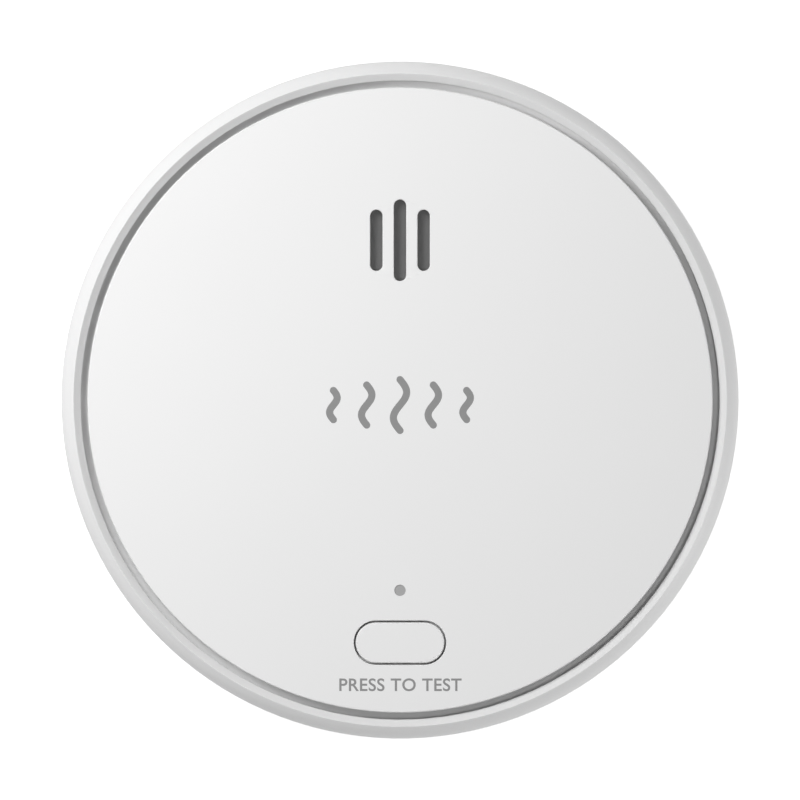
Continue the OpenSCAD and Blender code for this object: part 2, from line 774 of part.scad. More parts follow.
module chamber_base() color("black") translate(chamber_at) difference() {
    union() {
        slab(chamber_r - 0.7, board_top, chamber_floor);
        for (a = [emitter_angle, receiver_angle]) optic_holder(a);
    }
    for (a = [emitter_angle, receiver_angle]) {
        optic_bore(a);
        optic_leg_slot(a);
    }
}

// A 3 mm optic in its holder, looking at the chamber's middle, with two legs down to the board
module optic(angle) {
    at_polar(0, angle) {
        translate([optic_x, 0, optics_z]) rotate([0, 90, 0]) cylinder(r = optic_r, h = optic_l);
        translate([optic_x, 0, optics_z]) sphere(r = optic_r);
        for (y = [-1.1, 1.1]) translate([optic_x + optic_l - cut, y - leg_w / 2, 0]) {
            translate([0, 0, optics_z - leg_w / 2]) cube([leg_w + cut, leg_w, leg_w]);
            translate([2 * cut, 0, board_top]) cube([leg_w, leg_w, optics_z - board_top]);
        }
    }
}

module infrared_emitter() color("lightblue") translate(chamber_at) optic(emitter_angle);

module photodiode() color("black") translate(chamber_at) optic(receiver_angle);

module receiver_shield() color("silver") translate(chamber_at) at_polar(holder_x, receiver_angle) difference() {
    block(holder_l, 5.4, chamber_floor, optics_z + 2.8);
    block(holder_l + cut, 4.7, chamber_floor - cut, optics_z + 2.4);
}

module labyrinth_cover() color("black") translate(chamber_at) {
    slab(chamber_r - 0.1, vane_z, chamber_top - 0.6);
    slab(chamber_r - 1, chamber_top - 0.7, chamber_top);
    for (a = [0 : 20 : 340]) rotate([0, 0, a]) translate([0, 0, chamber_floor])
        linear_extrude(vane_z - chamber_floor + cut) polygon(vane);
}

module insect_screen() color("grey") translate(chamber_at)
    ring(chamber_r - 0.65, chamber_r - 0.25, board_top, vane_z);

// ---------------------------------------------------------------- battery

module along_cell() {
    translate([cell_x, cell_y, cell_z]) rotate([-90, 0, 0]) children();
}

module battery_cell() color("silver") along_cell() rotate_extrude() polygon(concat(
    [[0, -cell_l / 2]],
    arc(cell_r - sleeve_t - cell_round, -cell_l / 2 + cell_round, cell_round, -90, 0, 4),
    arc(cell_r - sleeve_t - cell_round, cell_l / 2 - 2 * cell_round, cell_round, 0, 90, 4),
    [[3.4, cell_l / 2 - cell_round], [3, cell_l / 2], [0, cell_l / 2]]));

module battery_sleeve() color("green") along_cell() {
    ring(cell_r - sleeve_t, cell_r, -cell_l / 2 + cell_round, cell_l / 2 - 2 * cell_round);
}

module battery_tabs() color("silver") {
    translate([cell_x - tab_w / 2, cell_y + cell_l / 2, cell_z - 2]) cube([tab_w, 0.15, 6]);
    translate([cell_x - tab_w / 2, cell_y - cell_l / 2 - 0.15, cell_z - 2]) cube([tab_w + 1.5, 0.15, 5]);
}

module battery_pad() color("dimgrey") translate([cell_x, cell_y, 0]) block(5, 18, floor_z, floor_z + pad_t);

module battery_lead_positive() color("red") tube_along(smooth_path(positive_route, 4), wire_r, 8, [0, 0, 1]);

module battery_lead_negative() color("black")
    tube_along(smooth_path(negative_route, 4), wire_r, 8, [0, 0.15, 1]);

module battery_header() color("ivory") translate(plug_at) difference() {
    rounded_block(7.4, 5.6, 0.3, board_top, board_top + header_h);
    block(5.9, 4.1, board_top + 1, board_top + header_h + cut);
}

module battery_plug() color("white") translate(plug_at) difference() {
    union() {
        block(5.7, 3.9, board_top + 1, board_top + plug_h);
    }
    for (s = [-1, 1]) translate([s, 0, 0]) block(1.3, 1.3, board_top + plug_h - 0.4, board_top + plug_h + cut);
}

// ---------------------------------------------------------------- what is drawn

mounting_bracket();
rear_cover();
rating_label();
case_screws();
outer_casing();
face_plate();
face_screws();
test_button();
button_spring();
button_retainer();
retainer_screws();
light_pipe();
sounder_mesh();
sounder_horn();
horn_screws();
piezo_plate();
piezo_ceramic();
piezo_clamp_ring();
sounder_lead_signal();
sounder_lead_ground();
main_board();
board_screws();
chamber_base();
labyrinth_cover();
insect_screen();
infrared_emitter();
photodiode();
receiver_shield();
battery_cell();
battery_sleeve();
battery_tabs();
battery_pad();
battery_lead_positive();
battery_lead_negative();
battery_plug();
battery_header();
test_switch_body();
test_switch_plunger();
status_led();
power_switch_body();
power_switch_slider();
microcontroller();
sensor_chip();
chip_leads();
boost_coil();
coil_winding();
electrolytic_capacitors();
chip_resistors();
chip_capacitors();
clock_crystal();
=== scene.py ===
import json
import math

import bmesh
import bpy
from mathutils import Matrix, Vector


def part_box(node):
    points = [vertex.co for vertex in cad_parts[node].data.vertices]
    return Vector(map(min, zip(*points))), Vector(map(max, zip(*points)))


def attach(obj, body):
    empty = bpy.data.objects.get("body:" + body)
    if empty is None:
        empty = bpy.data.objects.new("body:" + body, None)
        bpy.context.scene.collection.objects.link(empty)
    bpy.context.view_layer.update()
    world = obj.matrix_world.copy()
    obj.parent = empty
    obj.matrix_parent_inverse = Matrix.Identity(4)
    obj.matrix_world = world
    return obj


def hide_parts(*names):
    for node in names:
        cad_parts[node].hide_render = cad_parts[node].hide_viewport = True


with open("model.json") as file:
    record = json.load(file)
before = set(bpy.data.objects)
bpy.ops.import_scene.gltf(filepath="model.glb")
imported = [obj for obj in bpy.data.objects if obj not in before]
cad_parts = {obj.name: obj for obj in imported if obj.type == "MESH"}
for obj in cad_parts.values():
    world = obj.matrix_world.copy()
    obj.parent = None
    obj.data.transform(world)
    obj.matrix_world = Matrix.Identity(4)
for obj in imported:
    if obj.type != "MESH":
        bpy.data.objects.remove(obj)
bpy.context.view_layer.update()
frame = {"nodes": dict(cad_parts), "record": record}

MM = 0.001

FACE_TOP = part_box("face_plate")[1].z
BOARD_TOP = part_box("main_board")[1].z


def add_object(name, data):
    """A new object with that data, in the scene."""
    thing = bpy.data.objects.new(name, data)
    bpy.context.scene.collection.objects.link(thing)
    return thing


# ---------------------------------------------------------------- node graphs

FLOAT, COLOUR = "NodeSocketFloat", "NodeSocketColor"


def add_node(tree, kind, **settings):
    """A node of that kind in the tree, with its settings; a setting named by a socket sets that input."""
    node = tree.nodes.new(kind)
    for name, value in settings.items():
        if hasattr(node, name):
            setattr(node, name, value)
        else:
            node.inputs[name].default_value = value
    return node


def effect_group(name, inputs, outputs):
    """An empty shader node group with named sockets, and its input and output nodes."""
    group = bpy.data.node_groups.new(name, "ShaderNodeTree")
    for socket_name, kind, value in inputs:
        group.interface.new_socket(socket_name, in_out="INPUT", socket_type=kind).default_value = value
    for socket_name, kind in outputs:
        group.interface.new_socket(socket_name, in_out="OUTPUT", socket_type=kind)
    return group, group.nodes.new("NodeGroupInput"), group.nodes.new("NodeGroupOutput")


def math_node(tree, operation, a, b=None, c=None, clamp=False):
    """A Math node whose inputs are sockets or plain numbers; returns its output."""
    node = add_node(tree, "ShaderNodeMath", operation=operation, use_clamp=clamp)
    for index, value in enumerate((a, b, c)):
        if value is None:
            continue
        if isinstance(value, (int, float)):
            node.inputs[index].default_value = value
        else:
            tree.links.new(value, node.inputs[index])
    return node.outputs[0]


def mix_colours(tree, share, first, second):
    """The first colour turning into the second as share goes from 0 to 1; the first may be a socket."""
    mix = add_node(tree, "ShaderNodeMix", data_type="RGBA", blend_type="MIX")
    tree.links.new(share, mix.inputs[0])
    if isinstance(first, tuple):
        mix.inputs[6].default_value = (*first, 1)
    else:
        tree.links.new(first, mix.inputs[6])
    mix.inputs[7].default_value = (*second, 1)
    return mix.outputs[2]


def swing(tree, value, amount, middle):
    """A 0 to 1 value turned into middle, give or take half the amount."""
    return math_node(tree, "MULTIPLY_ADD", math_node(tree, "SUBTRACT", value, 0.5), amount, middle)


def noise(tree, place, size, detail=2.0, roughness=0.5):
    """Noise whose cells are about size millimetres across; size is a number or a socket."""
    node = add_node(tree, "ShaderNodeTexNoise", Detail=detail, Roughness=roughness)
    scale = math_node(tree, "DIVIDE", 1000.0, size)
    tree.links.new(scale, node.inputs["Scale"])
    tree.links.new(place, node.inputs["Vector"])
    return node.outputs["Fac"]


def moulded_skin_group():
    """Moulded plastic: fine grain, a faint mottle in the gloss and a soft drift in the tone."""
    mottle_size, drift_size = 6.0, 35.0
    group, given, result = effect_group(
        "Moulded skin",
        [("Colour", COLOUR, (0.8, 0.8, 0.8, 1)), ("Drift", FLOAT, 0.02), ("Grain Size", FLOAT, 0.22),
         ("Roughness", FLOAT, 0.42), ("Gloss Mottle", FLOAT, 0.06)],
        [("Colour", COLOUR), ("Roughness", FLOAT), ("Height", FLOAT)])
    place = add_node(group, "ShaderNodeTexCoord").outputs["Object"]
    grain = noise(group, place, given.outputs["Grain Size"], 3.0, 0.6)
    cells = add_node(group, "ShaderNodeTexVoronoi", feature="SMOOTH_F1")
    cell_scale = math_node(group, "DIVIDE", 700.0, given.outputs["Grain Size"])
    group.links.new(cell_scale, cells.inputs["Scale"])
    group.links.new(place, cells.inputs["Vector"])
    height = math_node(group, "MULTIPLY_ADD", cells.outputs["Distance"], 0.6, grain)
    group.links.new(height, result.inputs["Height"])
    mottle = noise(group, place, mottle_size, 4.0, 0.55)
    rough = swing(group, mottle, given.outputs["Gloss Mottle"], given.outputs["Roughness"])
    group.links.new(rough, result.inputs["Roughness"])
    shade = swing(group, noise(group, place, drift_size), given.outputs["Drift"], 1.0)
    tint = add_node(group, "ShaderNodeVectorMath", operation="SCALE")
    group.links.new(given.outputs["Colour"], tint.inputs[0])
    group.links.new(shade, tint.inputs["Scale"])
    group.links.new(tint.outputs[0], result.inputs["Colour"])
    return group


def edge_wear_and_highlight_group():
    """Where edges are worn glossier and painted paler as a highlight: 1 on an edge, 0 on flats, broken up by
    noise.
    """
    sharpness, patch_size = 6.0, 1.5
    group, given, result = effect_group(
        "Edge wear", [("Width", FLOAT, 0.15), ("Break Up", FLOAT, 0.5)], [("Mask", FLOAT)])
    bevel = add_node(group, "ShaderNodeBevel", samples=4)
    group.links.new(math_node(group, "MULTIPLY", given.outputs["Width"], MM), bevel.inputs["Radius"])
    true_normal = add_node(group, "ShaderNodeNewGeometry").outputs["Normal"]
    meet = add_node(group, "ShaderNodeVectorMath", operation="DOT_PRODUCT")
    group.links.new(bevel.outputs["Normal"], meet.inputs[0])
    group.links.new(true_normal, meet.inputs[1])
    turned_away = math_node(group, "SUBTRACT", 1.0, meet.outputs["Value"])
    edge = math_node(group, "MULTIPLY", turned_away, sharpness, clamp=True)
    place = add_node(group, "ShaderNodeTexCoord").outputs["Object"]
    gaps = math_node(group, "MULTIPLY", noise(group, place, patch_size, 3.0), given.outputs["Break Up"])
    keep = math_node(group, "SUBTRACT", 1.0, gaps, clamp=True)
    group.links.new(math_node(group, "MULTIPLY", edge, keep), result.inputs["Mask"])
    return group


def woven_cloth_group():
    """A plain weave in the X-Y plane: the height of the threads, and 1 on a thread and 0 in a gap."""
    group, given, result = effect_group(
        "Woven cloth", [("Pitch", FLOAT, 0.25)], [("Height", FLOAT), ("Thread", FLOAT)])
    place = add_node(group, "ShaderNodeTexCoord").outputs["Object"]
    split = add_node(group, "ShaderNodeSeparateXYZ")
    group.links.new(place, split.inputs[0])
    turn = math_node(group, "DIVIDE", 2000.0 * math.pi, given.outputs["Pitch"])
    waves = [math_node(group, "SINE", math_node(group, "MULTIPLY", split.outputs[axis], turn))
             for axis in ("X", "Y")]
    humps = [math_node(group, "ABSOLUTE", wave) for wave in waves]
    highest = math_node(group, "MAXIMUM", humps[0], humps[1])
    over = math_node(group, "MULTIPLY", waves[0], waves[1])
    group.links.new(math_node(group, "MULTIPLY_ADD", over, 0.3, highest), result.inputs["Height"])
    group.links.new(math_node(group, "MULTIPLY", highest, 1.2, clamp=True), result.inputs["Thread"])
    return group


def worked_metal_group():
    """Rolled, drawn or plated metal: long fine streaks along X, with blotches in the plating."""
    blotch_size, streak_gloss = 1.8, 0.15
    group, given, result = effect_group(
        "Worked metal", [("Streak Size", FLOAT, 0.08), ("Roughness", FLOAT, 0.3), ("Blotch", FLOAT, 0.12)],
        [("Roughness", FLOAT), ("Height", FLOAT), ("Tarnish", FLOAT)])
    place = add_node(group, "ShaderNodeTexCoord").outputs["Object"]
    stretch = add_node(group, "ShaderNodeMapping", Scale=(0.06, 1.0, 1.0))
    group.links.new(place, stretch.inputs["Vector"])
    streaks = noise(group, stretch.outputs[0], given.outputs["Streak Size"], 2.0)
    blotches = noise(group, place, blotch_size, 4.0)
    group.links.new(streaks, result.inputs["Height"])
    group.links.new(blotches, result.inputs["Tarnish"])
    rough = swing(group, blotches, given.outputs["Blotch"], given.outputs["Roughness"])
    group.links.new(swing(group, streaks, streak_gloss, rough), result.inputs["Roughness"])
    return group


MOULDED_SKIN = moulded_skin_group()
EDGE_WEAR_AND_HIGHLIGHT = edge_wear_and_highlight_group()
WOVEN_CLOTH = woven_cloth_group()
WORKED_METAL = worked_metal_group()


# ---------------------------------------------------------------- materials

def new_material(name):
    """An empty material with a Principled BSDF on its output."""
    material = bpy.data.materials.new(name)
    material.use_nodes = True
    tree = material.node_tree
    tree.nodes.clear()
    shader = tree.nodes.new("ShaderNodeBsdfPrincipled")
    output = tree.nodes.new("ShaderNodeOutputMaterial")
    tree.links.new(shader.outputs[0], output.inputs["Surface"])
    return material, tree, shader


def place_group(tree, group, **values):
    """A node that uses the group in the tree, with its inputs set."""
    node = tree.nodes.new("ShaderNodeGroup")
    node.node_tree = group
    for name, value in values.items():
        node.inputs[name.replace("_", " ")].default_value = value
    return node


def bump(tree, height, shader, distance):
    """Height, in units of distance millimetres, on the shader's normal."""
    node = add_node(tree, "ShaderNodeBump", Strength=1.0, Distance=distance * MM)
    tree.links.new(height, node.inputs["Height"])
    tree.links.new(node.outputs[0], shader.inputs["Normal"])


def moulded_plastic(name, colour, roughness, grain=0.22, depth=0.004, wear_and_highlight=0.0):
    """Moulded thermoplastic; where the edge amount is above 0, its edges are worn a little glossier and
    painted a little paler, a painted highlight.
    """
    material, tree, shader = new_material(name)
    skin = place_group(tree, MOULDED_SKIN, Colour=(*colour, 1), Grain_Size=grain, Roughness=roughness)
    bump(tree, skin.outputs["Height"], shader, depth)
    if not wear_and_highlight:
        tree.links.new(skin.outputs["Colour"], shader.inputs["Base Color"])
        tree.links.new(skin.outputs["Roughness"], shader.inputs["Roughness"])
        return material
    edges = place_group(tree, EDGE_WEAR_AND_HIGHLIGHT, Width=0.12, Break_Up=0.6)
    amount = math_node(tree, "MULTIPLY", edges.outputs["Mask"], wear_and_highlight)
    # Painted highlight: the edges' colour is lifted paler.
    painted_highlight_colour = tuple(min(1.0, c * 1.12 + 0.02) for c in colour)
    worn_and_highlit_colour = mix_colours(tree, amount, skin.outputs["Colour"], painted_highlight_colour)
    tree.links.new(worn_and_highlit_colour, shader.inputs["Base Color"])
    glossier = math_node(tree, "MULTIPLY_ADD", amount, -0.15, skin.outputs["Roughness"])
    tree.links.new(glossier, shader.inputs["Roughness"])
    return material


def metal(name, colour, roughness, tarnish=(0.75, 0.75, 0.75)):
    """Plated, rolled or drawn metal; tarnish is what its blotches multiply its colour by."""
    material, tree, shader = new_material(name)
    worked = place_group(tree, WORKED_METAL, Roughness=roughness)
    shader.inputs["Metallic"].default_value = 1.0
    dulled = tuple(c * t for c, t in zip(colour, tarnish))
    blotched = mix_colours(tree, worked.outputs["Tarnish"], colour, dulled)
    tree.links.new(blotched, shader.inputs["Base Color"])
    tree.links.new(worked.outputs["Roughness"], shader.inputs["Roughness"])
    bump(tree, worked.outputs["Height"], shader, 0.002)
    return material


def cloth(name, colour, pitch, gap_shade_colour):
    """Fine woven mesh: threads in one colour, the gaps between them in a darker one, painted shade for the
    openings.
    """
    material, tree, shader = new_material(name)
    weave = place_group(tree, WOVEN_CLOTH, Pitch=pitch)
    woven = mix_colours(tree, weave.outputs["Thread"], gap_shade_colour, colour)
    tree.links.new(woven, shader.inputs["Base Color"])
    rough = math_node(tree, "MULTIPLY_ADD", weave.outputs["Thread"], -0.1, 0.85)
    tree.links.new(rough, shader.inputs["Roughness"])
    bump(tree, weave.outputs["Height"], shader, 0.04)
    return material


def printed_ink(name, colour):
    """Pad-printed ink: slightly uneven cover, with a soft sheen."""
    material, tree, shader = new_material(name)
    place = add_node(tree, "ShaderNodeTexCoord").outputs["Object"]
    cover = noise(tree, place, 0.5, 3.0)
    thin = tuple(c * 1.15 for c in colour)
    tree.links.new(mix_colours(tree, cover, colour, thin), shader.inputs["Base Color"])
    tree.links.new(math_node(tree, "MULTIPLY_ADD", cover, 0.12, 0.39), shader.inputs["Roughness"])
    bump(tree, cover, shader, 0.002)
    return material


# The casing's white is the face's white plastic made a little darker: painted shade on the casing.
WHITE, CASE_WHITE_SHADED = (0.86, 0.86, 0.86), (0.83, 0.83, 0.83)
finishes = {
    # The last value for each white plastic sets how far its edges are worn glossier and painted paler as a
    # highlight.
    "bracket_plastic": moulded_plastic("bracket_white", (0.76, 0.76, 0.755), 0.5, grain=0.3, wear_and_highlight=0.3),
    "case_plastic": moulded_plastic("case_white_shaded", CASE_WHITE_SHADED, 0.42, wear_and_highlight=0.25),
    "face_plastic": moulded_plastic("face_white", WHITE, 0.42, wear_and_highlight=0.2),
    "button_plastic": moulded_plastic("button_white", WHITE, 0.4, wear_and_highlight=0.3),
    "label_film": moulded_plastic("label_film", (0.62, 0.63, 0.65), 0.35, grain=0.1, depth=0.001),
    "screw_steel": metal("zinc_screws", (0.62, 0.62, 0.63), 0.3),
    "spring_steel": metal("spring_wire", (0.55, 0.55, 0.56), 0.25),
    # The clear light pipe is coloured an opaque mid grey: painted shade, the dimness seen into it.
    "clear_acrylic": moulded_plastic("light_pipe_acrylic", (0.4, 0.4, 0.4), 0.25, depth=0.001),
    # The weave's gaps are painted near black: painted shade in its openings.
    "acoustic_mesh": cloth("acoustic_cloth", (0.2, 0.2, 0.2), 0.22, (0.05, 0.05, 0.05)),
    "horn_plastic": moulded_plastic("horn_black", (0.03, 0.03, 0.032), 0.5, depth=0.003),
    "piezo_brass": metal("rolled_brass", (0.78, 0.58, 0.26), 0.28, tarnish=(0.8, 0.7, 0.6)),
    "piezo_ceramic": metal("silvered_ceramic", (0.8, 0.79, 0.75), 0.5),
    "red_wire": moulded_plastic("red_insulation", (0.55, 0.02, 0.02), 0.35, depth=0.001),
    "black_wire": moulded_plastic("black_insulation", (0.02, 0.02, 0.02), 0.35, depth=0.001),
    "circuit_board": moulded_plastic("solder_mask", (0.01, 0.16, 0.06), 0.3, grain=0.5, depth=0.001),
    "chamber_plastic": moulded_plastic("chamber_black", (0.015, 0.015, 0.015), 0.7, depth=0.006),
    "insect_mesh": metal("screen_steel", (0.5, 0.5, 0.51), 0.35),
    "emitter_epoxy": moulded_plastic("emitter_epoxy", (0.45, 0.55, 0.7), 0.12, depth=0.0),
    "receiver_epoxy": moulded_plastic("receiver_epoxy", (0.02, 0.012, 0.02), 0.12, depth=0.0),
    "tinned_steel": metal("tinned_steel", (0.68, 0.68, 0.66), 0.32),
    "cell_can": metal("nickel_can", (0.66, 0.65, 0.62), 0.22),
    "cell_sleeve": moulded_plastic("cell_sleeve", (0.02, 0.22, 0.12), 0.25, depth=0.001),
    "foam_pad": moulded_plastic("foam_pad", (0.05, 0.05, 0.05), 0.9, grain=0.5, depth=0.06),
    "connector_nylon": moulded_plastic("connector_nylon", (0.72, 0.68, 0.58), 0.45),
    "switch_black": moulded_plastic("switch_black", (0.025, 0.025, 0.025), 0.45),
    "led_package": moulded_plastic("led_package", (0.8, 0.79, 0.7), 0.3),
    "chip_epoxy": moulded_plastic("chip_epoxy", (0.02, 0.02, 0.022), 0.55, grain=0.12),
    "coil_ferrite": moulded_plastic("coil_ferrite", (0.05, 0.05, 0.055), 0.6, grain=0.15, depth=0.01),
    "coil_copper": metal("enamelled_copper", (0.62, 0.26, 0.11), 0.25, tarnish=(0.8, 0.7, 0.6)),
    "capacitor_sleeve": moulded_plastic("capacitor_sleeve", (0.01, 0.015, 0.06), 0.25, depth=0.001),
    "resistor_body": moulded_plastic("resistor_glaze", (0.015, 0.015, 0.02), 0.2, depth=0.001),
    "capacitor_body": moulded_plastic("capacitor_ceramic", (0.4, 0.27, 0.15), 0.5, grain=0.1),
}
grey_ink = printed_ink("grey_ink", (0.25, 0.25, 0.25))
dark_ink = printed_ink("dark_ink", (0.06, 0.06, 0.065))
white_ink = printed_ink("white_ink", (0.75, 0.75, 0.75))
solder = metal("solder", (0.72, 0.72, 0.7), 0.22)
track_mask = moulded_plastic("mask_over_copper", (0.04, 0.34, 0.13), 0.3, grain=0.5, depth=0.001)


# ---------------------------------------------------------------- finishes on the CAD nodes

def soft_shading_group():
    """Joins a CAD mesh's separate faces and shades across every edge flatter than the angle."""
    group = bpy.data.node_groups.new("Soft shading", "GeometryNodeTree")
    group.interface.new_socket("Geometry", in_out="INPUT", socket_type="NodeSocketGeometry")
    group.interface.new_socket("Angle", in_out="INPUT", socket_type="NodeSocketFloat").default_value = 0.6
    group.interface.new_socket("Geometry", in_out="OUTPUT", socket_type="NodeSocketGeometry")
    given, result = group.nodes.new("NodeGroupInput"), group.nodes.new("NodeGroupOutput")
    joined = add_node(group, "GeometryNodeMergeByDistance", Distance=1e-6)
    smooth = add_node(group, "GeometryNodeSetShadeSmooth", domain="FACE")
    smooth.inputs["Shade Smooth"].default_value = True
    angle = group.nodes.new("GeometryNodeInputMeshEdgeAngle")
    flat = add_node(group, "FunctionNodeCompare", data_type="FLOAT", operation="LESS_EQUAL")
    edges = add_node(group, "GeometryNodeSetShadeSmooth", domain="EDGE")
    group.links.new(given.outputs["Geometry"], joined.inputs["Geometry"])
    group.links.new(joined.outputs[0], smooth.inputs["Geometry"])
    group.links.new(smooth.outputs[0], edges.inputs["Geometry"])
    group.links.new(angle.outputs["Unsigned Angle"], flat.inputs[0])
    group.links.new(given.outputs["Angle"], flat.inputs[1])
    group.links.new(flat.outputs[0], edges.inputs["Shade Smooth"])
    group.links.new(edges.outputs[0], result.inputs["Geometry"])
    return group


SOFT_SHADING = soft_shading_group()


def shade_softly(piece, angle=35):
    """Smooth shading across the faces of a piece that meet at less than the angle; its shape stays."""
    stored = piece.data.attributes.get("custom_normal")
    if stored:
        piece.data.attributes.remove(stored)
    modifier = piece.modifiers.new("soft_shading", "NODES")
    modifier.node_group = SOFT_SHADING
    modifier["Socket_1"] = math.radians(angle)
    flats = piece.modifiers.new("flats_first", "WEIGHTED_NORMAL")
    flats.keep_sharp = True


slot_of = {row["node"]: row["material_slot"] for row in frame["record"]["subparts"]}
for name, node in frame["nodes"].items():
    for material_slot in node.material_slots:
        material_slot.material = finishes[slot_of[name]]
    shade_softly(node)


# ---------------------------------------------------------------- shapes for the added pieces

def piece_from(name, mesh_maker, material):
    """A mesh object made by mesh_maker(bm), with its finish, riding on the alarm's body."""
    mesh = bpy.data.meshes.new(name)
    bm = bmesh.new()
    mesh_maker(bm)
    bmesh.ops.recalc_face_normals(bm, faces=bm.faces)
    bm.to_mesh(mesh)
    bm.free()
    piece = add_object(name, mesh)
    mesh.materials.append(material)
    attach(piece, "alarm")
    return piece


def ribbon(bm, centre_line, width, top, foot):
    """A flat stroke along the points, with round ends, standing from foot to top."""
    end_steps = 10
    half = width / 2
    count = len(centre_line)
    left, right = [], []
    for index, point in enumerate(centre_line):
        along = (centre_line[min(index + 1, count - 1)] - centre_line[max(index - 1, 0)]).normalized()
        across = Vector((-along.y, along.x))
        left.append(point + across * half)
        right.append(point - across * half)
    first = (centre_line[0] - centre_line[1]).normalized()
    last = (centre_line[-1] - centre_line[-2]).normalized()
    outline = list(left)
    for end, out in ((centre_line[-1], last), (centre_line[0], first)):
        start = math.atan2(out.y, out.x) + math.pi / 2
        angles = [start - math.pi * k / end_steps for k in range(1, end_steps)]
        outline += [end + half * Vector((math.cos(angle), math.sin(angle))) for angle in angles]
        if end is centre_line[-1]:
            outline += right[::-1]
    upper = [bm.verts.new((p.x, p.y, top)) for p in outline]
    lower = [bm.verts.new((p.x, p.y, foot)) for p in outline]
    bm.faces.new(upper)
    bm.faces.new(lower[::-1])
    for index in range(len(outline)):
        after = (index + 1) % len(outline)
        bm.faces.new((upper[index], lower[index], lower[after], upper[after]))


def islands(name):
    """The boxes (low, high) of the loose solids in a CAD node, in metres."""
    mesh = frame["nodes"][name].data
    bm = bmesh.new()
    bm.from_mesh(mesh)
    bmesh.ops.remove_doubles(bm, verts=bm.verts, dist=1e-6)
    bm.verts.ensure_lookup_table()
    seen, boxes = set(), []
    for first in bm.verts:
        if first.index in seen:
            continue
        seen.add(first.index)
        queue, low, high = [first], first.co.copy(), first.co.copy()
        while queue:
            vertex = queue.pop()
            for axis in range(3):
                low[axis] = min(low[axis], vertex.co[axis])
                high[axis] = max(high[axis], vertex.co[axis])
            for edge in vertex.link_edges:
                other = edge.other_vert(vertex)
                if other.index not in seen:
                    seen.add(other.index)
                    queue.append(other)
        boxes.append((low, high))
    bm.free()
    return boxes


def straight(start, end):
    """The centre line of a straight stroke."""
    start, end = Vector(start), Vector(end)
    return [start, (start + end) / 2, end]


def rectangle(x0, x1, y0, y1):
    """The centre lines of the four strokes round a rectangle."""
    corners = [(x0, y0), (x1, y0), (x1, y1), (x0, y1)]
    return [straight(start, end) for start, end in zip(corners, corners[1:] + corners[:1])]


def wave(x, y, height, sway, steps):
    """The centre line of one upright wave round the point x, y."""
    return [Vector((x + sway * math.sin(2 * math.pi * k / steps), y + height * (k / steps - 0.5)))
            for k in range(steps + 1)]


def round_point(middle, radius, angle, z):
    """The point at that angle on the circle round middle, at the height z."""
    return Vector((middle[0] + radius * math.cos(angle), middle[1] + radius * math.sin(angle), z))


def turned(bm, profile, middle, sides=24):
    """A closed solid turned round the upright axis through middle; its (r, z) profile ends at r = 0."""
    rings = []
    for r, z in profile:
        angles = [2 * math.pi * k / sides for k in range(sides if r > 0 else 1)]
        rings.append([bm.verts.new(round_point(middle, r, angle, z)) for angle in angles])
    for lower, upper in zip(rings, rings[1:]):
        for k in range(sides):
            after = (k + 1) % sides
            corners = [lower[k % len(lower)], lower[after % len(lower)],
                       upper[after % len(upper)], upper[k % len(upper)]]
            bm.faces.new(list(dict.fromkeys(corners)))


def turned_above(bm, profile, base, middle, sides=24):
    """A turned solid whose profile is given in millimetres, with its heights above base."""
    turned(bm, [(r * MM, base + z * MM) for r, z in profile], middle, sides)


def bevelled_box(bm, low, high, bevel):
    """A closed box from low to high whose edges are cut back by the bevel."""
    sides = [Vector(low), Vector(high)]
    corners = [bm.verts.new((sides[i].x, sides[j].y, sides[k].z))
               for i in (0, 1) for j in (0, 1) for k in (0, 1)]
    faces = [bm.faces.new([corners[i] for i in face]) for face in
             ((0, 1, 3, 2), (4, 6, 7, 5), (0, 4, 5, 1), (2, 3, 7, 6), (0, 2, 6, 4), (1, 5, 7, 3))]
    edges = list({edge for face in faces for edge in face.edges})
    bmesh.ops.bevel(bm, geom=edges, offset=bevel, segments=2, profile=0.5, affect="EDGES")


def tube(bm, path, radius, sides=8, closed=False):
    """A closed round tube along the points; a closed one joins its own start."""
    count = len(path)
    rings = []
    side = None
    for index, point in enumerate(path):
        before = path[index - 1] if closed else path[max(index - 1, 0)]
        after = path[(index + 1) % count] if closed else path[min(index + 1, count - 1)]
        along = (after - before).normalized()
        if side is None:
            side = along.orthogonal().normalized()
        side = (side - along * side.dot(along)).normalized()
        up = along.cross(side)
        angles = [2 * math.pi * k / sides for k in range(sides)]
        rings.append([bm.verts.new(point + radius * (math.cos(angle) * side + math.sin(angle) * up))
                      for angle in angles])
    pairs = list(zip(rings, rings[1:])) + ([(rings[-1], rings[0])] if closed else [])
    for lower, upper in pairs:
        for k in range(sides):
            after = (k + 1) % sides
            bm.faces.new((lower[k], lower[after], upper[after], upper[k]))
    if not closed:
        bm.faces.new(rings[0][::-1])
        bm.faces.new(rings[-1])


def shade_round(piece, angle=40):
    """Smooth shading for an added piece."""
    for polygon in piece.data.polygons:
        polygon.use_smooth = True
    shade_softly(piece, angle)
    return piece


# ---------------------------------------------------------------- prints on the face

INK_TOP, INK_FOOT = 0.012 * MM, 0.02 * MM
WAVE_PITCH, WAVE_WIDTH, WAVE_MIDDLE = 4.9 * MM, 1.05 * MM, -0.74 * MM
WAVE_SWAY = -0.13  # as a share of the wave's height
WAVE_HEIGHTS = {-2: 4.3 * MM, -1: 5.9 * MM, 0: 7.5 * MM, 1: 5.9 * MM, 2: 4.3 * MM}
LEGEND_SIZE, LEGEND_SPACING, LEGEND_BOLDNESS = 2.6 * MM, 1.05, 0.035 * MM
LEGEND_AT = (0, -42.0 * MM, FACE_TOP + (INK_TOP - INK_FOOT) / 2)


def smoke_pictogram(bm):
    """Five rising waves, the tallest in the middle."""
    for place, height in WAVE_HEIGHTS.items():
        line = wave(place * WAVE_PITCH, WAVE_MIDDLE, height, WAVE_SWAY * height, 32)
        ribbon(bm, line, WAVE_WIDTH, FACE_TOP + INK_TOP, FACE_TOP - INK_FOOT)


piece_from("smoke_pictogram", smoke_pictogram, grey_ink)


